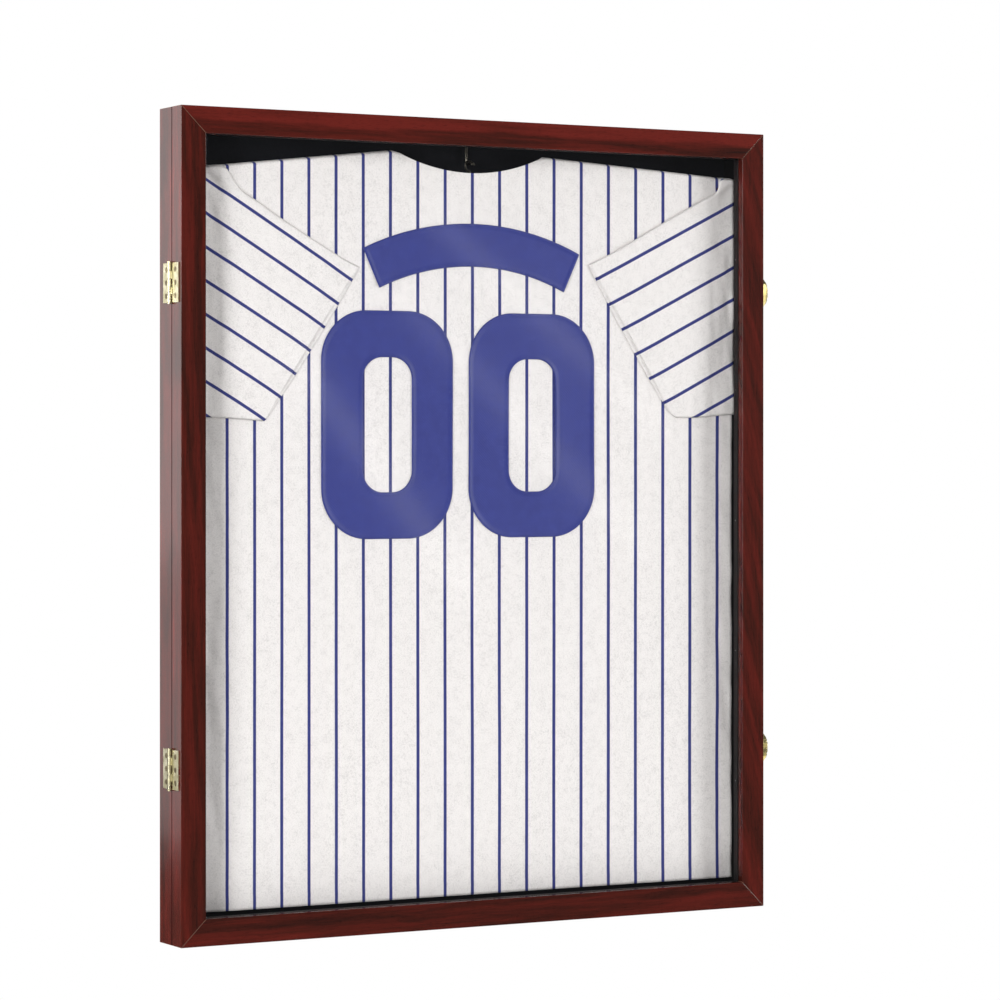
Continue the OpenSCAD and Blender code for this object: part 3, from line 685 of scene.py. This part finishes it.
def sleeve(side, material):
    """A flat tube folded across the jersey's front, from the side edge to a cuff with two staggered edges."""
    columns = 76
    side_x = jersey_low.x if side == "left" else jersey_right
    upper = smooth_path(SLEEVE_TOP[side], columns)
    lower = smooth_path(SLEEVE_LOW[side], columns)
    across, facing = tube_angles(56)
    corner = CUFF_CORNER[side]
    u, v = np.linspace(0, 1, columns)[:, None], across[None, :]
    a, b = np.clip((u - 1 + corner) / corner, 0, 1), np.clip((v - 1 + corner) / corner, 0, 1)
    rounded_u = np.where((a > 0) & (b > 0), 1 - corner + corner * a * np.sqrt(1 - b * b / 2), u + 0 * v)
    rounded_v = np.where((a > 0) & (b > 0), 1 - corner + corner * b * np.sqrt(1 - a * a / 2), v + 0 * u)
    u, v, facing = rounded_u, rounded_v, facing[None, :]
    step = u * (columns - 1)
    index = np.arange(columns)
    top = np.stack([np.interp(step, index, upper[:, i]) for i in (0, 1)], axis=-1)
    low = np.stack([np.interp(step, index, lower[:, i]) for i in (0, 1)], axis=-1)
    flat = top + (low - top) * v[..., None]
    tilt = SLEEVE_STRIPE_TILT[side]
    way = np.array([math.cos(tilt), -math.sin(abs(tilt))]) * (1 if side == "left" else -1, 1)
    bulge = np.sin(np.clip(v, 0, 1) * math.pi) ** 0.8
    stagger = -facing * CUFF_STAGGER * bulge * eased((u - 0.86) / 0.14)
    x, z = flat[..., 0] + way[0] * stagger, flat[..., 1] + way[1] * stagger

    height = np.linalg.norm(low - top, axis=-1)
    fold = rounding(np.minimum(v, 1 - v) * height, 3.0 * MM)
    inside = np.abs(x - side_x)
    close = rounding(inside, 5 * MM)
    body = front_y(x, z)
    sunk = np.maximum(body - jersey_low.y - 2 * MM, 0)
    puff = SLEEVE_PUFF * (1 + 0.16 * soft_folds(x * 1.3 + 0.4, z * 1.3)) + 0.45 * sunk
    puff = puff * (1 - 0.6 * eased((u - 0.8) / 0.2))
    flare = 0.2 * MM * eased((u - 0.88) / 0.12) * bulge
    surface = 0.3 * MM * ripples(x + 0.3, z) + 0.5 * MM * soft_folds(x + 0.7, z) + crease_height(
        x, z, SHOULDER_CREASE[side])
    front = 0.45 * MM + (puff + flare + surface * fold) * (0.5 + 0.5 * fold)
    behind = 0.45 * MM + (puff + flare) * (0.5 - 0.5 * fold)
    lift = np.where(facing > 0, front, behind) * close
    points = np.stack([x, body - lift, z], axis=-1)
    name = f"jersey_sleeve_{side}"
    mesh = cleaned(grid_mesh(name + "_cloth", points, close_columns=True))
    piece = add_piece(name + "_cloth", mesh, "hanger", "jersey_white", material, stands_for=[name])
    return with_thickness(piece, 0.6 * CLOTH)


def rounded_outline(width, height, corner, count):
    """Points round a rounded rectangle, evenly spaced, anticlockwise from the middle of its right side."""
    straight_x, straight_z = width - 2 * corner, height - 2 * corner
    quarter = corner * math.pi / 2
    parts = [straight_z / 2, quarter, straight_x, quarter, straight_z,
             quarter, straight_x, quarter, straight_z / 2]
    ends = np.cumsum([0, *parts])
    x0, z0 = width / 2 - corner, height / 2 - corner
    points = []
    for at in np.linspace(0, ends[-1], count, endpoint=False):
        part = min(int(np.searchsorted(ends, at, side="right")) - 1, len(parts) - 1)
        step = at - ends[part]
        quadrant = part // 2
        cx, cz = [(x0, z0), (-x0, z0), (-x0, -z0), (x0, -z0)][min(quadrant, 3)]
        if part % 2:
            angle = math.pi / 2 * quadrant + step / max(corner, 1e-9)
            points.append((cx + corner * math.cos(angle), cz + corner * math.sin(angle)))
        else:
            lines = {0: (width / 2, step), 2: (x0 - step, height / 2), 4: (-width / 2, z0 - step),
                     6: (-x0 + step, -height / 2), 8: (width / 2, -z0 + step)}
            points.append(lines[part])
    return np.array(points)


def patch_height(inset):
    """Height of a sewn patch over the cloth by the distance from its edge: a raised satin rim."""
    return np.interp(inset, np.array([0, 0.35, PATCH_RIM / MM - 0.4, PATCH_RIM / MM, 5]) * MM,
                     np.array([0.25, 0.95, 0.95, 0.62, 0.62]) * MM)


def patch_point(x, z, inset):
    """A point of a patch on the jersey's front."""
    y = front_y(x, z) - patch_height(inset)
    return np.stack([x, y, z], axis=-1)


def paint_rim(mesh, rim_faces):
    """Gives the faces marked 1 the patch's second material."""
    mesh.polygons.foreach_set("material_index", np.asarray(rim_faces, dtype=np.int32))


def digit(side, materials):
    """A plain numeral zero cut from twill, with a satin-stitched rim."""
    low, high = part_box(f"jersey_digit_{side}")
    width, height, centre = high.x - low.x, high.z - low.z, (low + high) / 2
    count = 240
    outer = rounded_outline(width, height, DIGIT_CORNER, count)
    inner = rounded_outline(width - 2 * DIGIT_STROKE, height - 2 * DIGIT_STROKE, COUNTER_CORNER, count)
    span = np.linalg.norm(outer - inner, axis=1)
    rim = np.array(RIM_STEPS)
    fill = np.linspace(0, 1, 12)[1:-1]
    rings, insets = [], []
    for inset in rim:
        rings.append(outer + (inner - outer) * (inset / span)[:, None])
        insets.append(np.full(count, inset))
    for share in fill:
        start, end = PATCH_RIM / span, 1 - PATCH_RIM / span
        rings.append(outer + (inner - outer) * (start + (end - start) * share)[:, None])
        insets.append(np.full(count, 5 * MM))
    for inset in rim[::-1]:
        rings.append(inner + (outer - inner) * (inset / span)[:, None])
        insets.append(np.full(count, inset))
    ring, inset = np.array(rings), np.array(insets)
    points = patch_point(ring[..., 0] + centre.x, ring[..., 1] + centre.z, inset)
    name = f"jersey_digit_{side}"
    mesh = grid_mesh(name + "_patch", points, close_columns=True)
    rows = len(rings) - 1
    is_rim = np.array([1 if r < 3 or r >= rows - 3 else 0 for r in range(rows)])
    piece = add_piece(name + "_patch", mesh, "hanger", "jersey_blue", *materials, stands_for=[name])
    paint_rim(mesh, np.repeat(is_rim, count))
    return with_thickness(piece, PATCH_CLOTH, 1.0)


def nameplate(materials):
    """A blank arched plate of the same twill, where a name would be sewn."""
    low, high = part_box("jersey_nameplate")
    centre = np.array([(low.x + high.x) / 2, high.z - NAME_RADIUS])
    rim = np.array(RIM_STEPS)
    length = 2 * NAME_HALF_ANGLE * (NAME_RADIUS - NAME_HEIGHT / 2)

    def steps_across(size, count):
        """Places from one edge of the plate to the other, close together at the rims."""
        return np.concatenate([rim, np.linspace(PATCH_RIM, size - PATCH_RIM, count)[1:-1], size - rim[::-1]])

    down, along = steps_across(NAME_HEIGHT, 12), steps_across(length, 90)
    angle = (math.pi / 2 + NAME_HALF_ANGLE - along / length * 2 * NAME_HALF_ANGLE)[None, :]
    radius = (NAME_RADIUS - down)[:, None]
    x, z = centre[0] + radius * np.cos(angle), centre[1] + radius * np.sin(angle)
    from_long_edge, from_end = np.minimum(down, NAME_HEIGHT - down), np.minimum(along, length - along)
    inset = np.minimum(from_long_edge[:, None], from_end[None, :])
    mesh = grid_mesh("jersey_nameplate_patch", patch_point(x, z, inset))
    piece = add_piece("jersey_nameplate_patch", mesh, "hanger", "jersey_blue", *materials,
                      stands_for=["jersey_nameplate"])
    middle = np.minimum(inset[:-1, :-1], inset[1:, 1:])
    paint_rim(mesh, (middle.ravel() < PATCH_RIM * 0.95).astype(int))
    return with_thickness(piece, PATCH_CLOTH, 1.0)


# ---------------------------------------------------------------- brassware


def lock_bead(name, material):
    """The pressed bead on a lock's face: an eight-sided ring of slopes round its key."""
    low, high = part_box(f"lock_housing_{name}")
    centre = (low + high) / 2
    half_y, half_z = (high.y - low.y) / 2, (high.z - low.z) / 2
    rings = []
    for height, inset in LOCK_BEAD:
        x = high.x - LOCK_RING + height * MM
        corner = LOCK_CORNER - LOCK_CORNER_SHRINK * inset * MM
        y_reach, z_reach = half_y - inset * MM, half_z - inset * MM
        outline = [(y_reach, z_reach - corner), (y_reach - corner, z_reach)]
        outline += [(-y, z) for y, z in reversed(outline)]
        outline += [(-y, -z) for y, z in outline]
        rings.append([(x, centre.y + y, centre.z + z) for y, z in outline])
    mesh = cleaned(grid_mesh(f"lock_bead_{name}", np.array(rings), close_rows=True, close_columns=True))
    piece = add_piece(f"lock_bead_{name}", mesh, "case", "brass", material)
    mesh.polygons.foreach_set("use_smooth", np.zeros(len(mesh.polygons), bool))
    return piece


# ---------------------------------------------------------------- scene


def make_camera():
    """A level camera, shifted as the photo's is."""
    data = bpy.data.cameras.new("camera")
    data.lens = LENS_MM
    data.sensor_width = SENSOR_MM
    data.shift_x, data.shift_y = SHIFT
    camera = bpy.data.objects.new("camera", data)
    scene.collection.objects.link(camera)
    back = Vector((math.sin(VIEW_AZIMUTH), -math.cos(VIEW_AZIMUTH), 0))
    camera.location = VIEW_AIM + back * VIEW_DISTANCE
    camera.rotation_euler = (math.pi / 2, 0, VIEW_AZIMUTH)
    scene.camera = camera


def make_floor():
    """A round pale floor, well below the case, which hangs on a wall."""
    mesh = bpy.data.meshes.new("floor")
    form = bmesh.new()
    bmesh.ops.create_circle(form, cap_ends=True, segments=96, radius=FLOOR_RADIUS)
    form.to_mesh(mesh)
    form.free()
    floor = bpy.data.objects.new("floor", mesh)
    floor.location = (0, 0, case_low.z - FLOOR_DROP)
    scene.collection.objects.link(floor)
    s = Shader("floor_paint")
    s.set({"Base Color": (0.90, 0.90, 0.89, 1), "Roughness": 0.9, "Specular IOR Level": 0.1})
    mesh.materials.append(s.material)


def make_world():
    """White where the camera sees it, and a dim soft room for everything it lights."""
    world = bpy.data.worlds.new("studio")
    scene.world = world
    world.use_nodes = True
    tree = world.node_tree
    tree.nodes.clear()
    path = tree.nodes.new("ShaderNodeLightPath")
    seen, room = tree.nodes.new("ShaderNodeBackground"), tree.nodes.new("ShaderNodeBackground")
    for background, strength in ((seen, 1.0), (room, AMBIENT)):
        background.inputs["Color"].default_value = (1, 1, 1, 1)
        background.inputs["Strength"].default_value = strength
    choice, output = tree.nodes.new("ShaderNodeMixShader"), tree.nodes.new("ShaderNodeOutputWorld")
    tree.links.new(path.outputs["Is Camera Ray"], choice.inputs[0])
    tree.links.new(room.outputs[0], choice.inputs[1])
    tree.links.new(seen.outputs[0], choice.inputs[2])
    tree.links.new(choice.outputs[0], output.inputs["Surface"])


def area_light(name, width, height, brightness, place, turn):
    """A rectangular light at a place, with a turn as a matrix. Its brightness is that of its surface."""
    data = bpy.data.lights.new(name, "AREA")
    data.shape = "RECTANGLE"
    data.size, data.size_y = width, height
    data.energy = brightness * 4 * data.size * data.size_y
    light = bpy.data.objects.new(name, data)
    scene.collection.objects.link(light)
    light.matrix_world = Matrix.Translation(place) @ turn
    light.visible_camera = False


def softbox(name, direction, distance, size, brightness, aim=None):
    """A rectangular light that faces the case from a direction."""
    aim = Vector((0, -0.03, middle_z)) if aim is None else Vector(aim)
    way = Vector(direction).normalized()
    turn = way.to_track_quat("Z", "Y").to_matrix().to_4x4()
    area_light(name, *size, brightness, aim + way * distance, turn)


def glint(name, x, z, length, width, tilt, brightness):
    """A strip light that the pane mirrors to the camera as a soft band across the point x, z."""
    spot = Vector((x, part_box("clear_pane")[0].y, z))
    way = spot - scene.camera.location
    grow = (way.length + GLINT_DISTANCE) / way.length
    way = Vector((way.x, -way.y, way.z)).normalized()
    level = Vector((math.cos(VIEW_AZIMUTH), -math.sin(VIEW_AZIMUTH), 0))
    along = (level * math.cos(tilt) + Vector((0, 0, math.sin(tilt)))).normalized()
    along = (along - way * along.dot(way)).normalized()
    turn = Matrix((along, way.cross(along), way)).transposed().to_4x4()
    area_light(name, length * grow, width * grow, brightness, spot + way * GLINT_DISTANCE, turn)


def make_lights():
    """A studio of soft boxes, and strips that the pane and the left side mirror in the main view."""
    softbox("left_key", (-0.86, -0.51, 0.20), 4.2, (1.2, 2.6), 12.4)
    softbox("right_key", (0.88, -0.47, 0.20), 4.2, (1.3, 2.6), 11)
    softbox("front_fill", (-0.25, -1.0, 0.32), 4.4, (2.4, 1.8), 1.5)
    softbox("top", (-0.1, -0.15, 1.0), 2.4, (1.8, 1.0), 1.8)
    softbox("left_side", (-1.0, 0.16, 0.5), 2.3, (0.8, 1.5), 10.5)
    softbox("side_sheen", (-0.486, 0.874, 0.0), 2.2, (0.9, 1.47), 0.93, aim=(-0.33, -0.03, -0.165))
    softbox("side_sheen_upper", (-0.486, 0.874, 0.0), 2.19, (0.9, 1.05), 0.60, aim=(-0.33, -0.03, 0.07))
    softbox("right_side", (1.0, 0.03, 0.12), 2.6, (1.5, 1.9), 1.1)
    softbox("behind", (0.35, 1.0, 0.5), 2.6, (1.4, 1.4), 1.6)
    glint("glint_left", -0.115, -0.307, 0.30, 0.024, math.radians(-53), 0.95)
    glint("glint_middle", 0.041, -0.253, 0.36, 0.022, math.radians(-46), 0.70)
    glint("glint_right", 0.072, -0.157, 0.34, 0.016, math.radians(-43), 0.95)


def main():
    scene.view_settings.view_transform = "Standard"
    make_camera()
    make_world()
    make_floor()
    make_lights()

    woods = {
        "top": mahogany("mahogany_top", "X", 1.3, slant=0.03, dark_inside=0.2, lift=0.2),
        "bottom": mahogany("mahogany_bottom", "X", 4.1, slant=-0.02, dark_inside=0.05),
        "left": mahogany("mahogany_left", "Z", 7.7, slant=0.05, dark_inside=0.04),
        "right": mahogany("mahogany_right", "Z", 2.9, slant=0.28),
    }
    plain_wood = mahogany("mahogany_plain", "X", 9.4, slant=0.02, mitred=False)
    brass = metal("brass_plate", (0.93, 0.80, 0.38), (0.84, 0.70, 0.28), 0.26, dents=1.3 * MM)
    pale_brass = metal("brass_hinge", (0.60, 0.56, 0.40), (0.50, 0.46, 0.28), 0.3)
    steel = metal("zinc_steel", (0.50, 0.51, 0.53), (0.30, 0.30, 0.31), 0.30)
    dark_wire = metal("dark_wire", (0.075, 0.068, 0.055), (0.040, 0.037, 0.032), 0.28)
    screw_brass = metal("brass_screw", (0.26, 0.21, 0.11), (0.14, 0.11, 0.06), 0.3)

    for part in ("case", "door"):
        for side, wood in woods.items():
            dress(f"{part}_rail_{side}", wood, 0.55 * MM, 3)
    strips = black_wood()
    for side in woods:
        dress(f"pane_strip_{side}", strips, 0.6 * MM, 3)
    dress("hanger_bar", plain_wood, 0.8 * MM, 3)
    dress("back_panel", hardboard(), 0.2 * MM)
    dress("felt_lining", felt(), 0.3 * MM)
    dress("door_bumpers", rubber(), 0.3 * MM)
    dress("clear_pane", acrylic(), 0.2 * MM)
    for name in ("case_corner_nails", "back_points", "keyhole_screws", "lock_screws", "door_corner_nails",
                 "pane_strip_pins", "lock_cam_upper", "lock_cam_lower"):
        dress(name, steel, 0.06 * MM)
    for name in ("hinge_leaf_case_upper", "hinge_leaf_case_lower", "hinge_leaf_door_upper",
                 "hinge_leaf_door_lower", "hinge_pin_upper", "hinge_pin_lower"):
        dress(name, pale_brass, 0.15 * MM)
    for name in ("hinge_screws_case", "hinge_screws_door", "strike_screws"):
        dress(name, screw_brass, 0.08 * MM)
    dress("hanger_hook", dark_wire, 0.08 * MM)
    dress("hanger_peg", dark_wire, 0.12 * MM)
    for name in ("keyhole_plate_left", "keyhole_plate_right", "lock_cylinder_upper", "lock_cylinder_lower"):
        dress(name, brass, 0.12 * MM)
    for name in ("lock_housing_upper", "lock_housing_lower", "strike_plate_upper", "strike_plate_lower"):
        dress(name, brass, 0.7 * MM, 4)

    for name in ("upper", "lower"):
        lock_bead(name, brass)

    body_knit = jersey_knit("jersey_knit_body", body_stripes)
    blue = twill("jersey_twill", (0.0235, 0.0325, 0.210), (0.0285, 0.0395, 0.238))
    rim = twill("jersey_satin_rim", (0.022, 0.031, 0.200), (0.027, 0.038, 0.230), rib=5200)
    shirt = jersey_body(body_knit)
    for side in ("left", "right"):
        sleeve(side, jersey_knit(f"jersey_knit_{side}", sleeve_stripes(side)))
    digits = [digit(side, (blue, rim)) for side in ("left", "right")]
    plate = nameplate((blue, rim))


main()
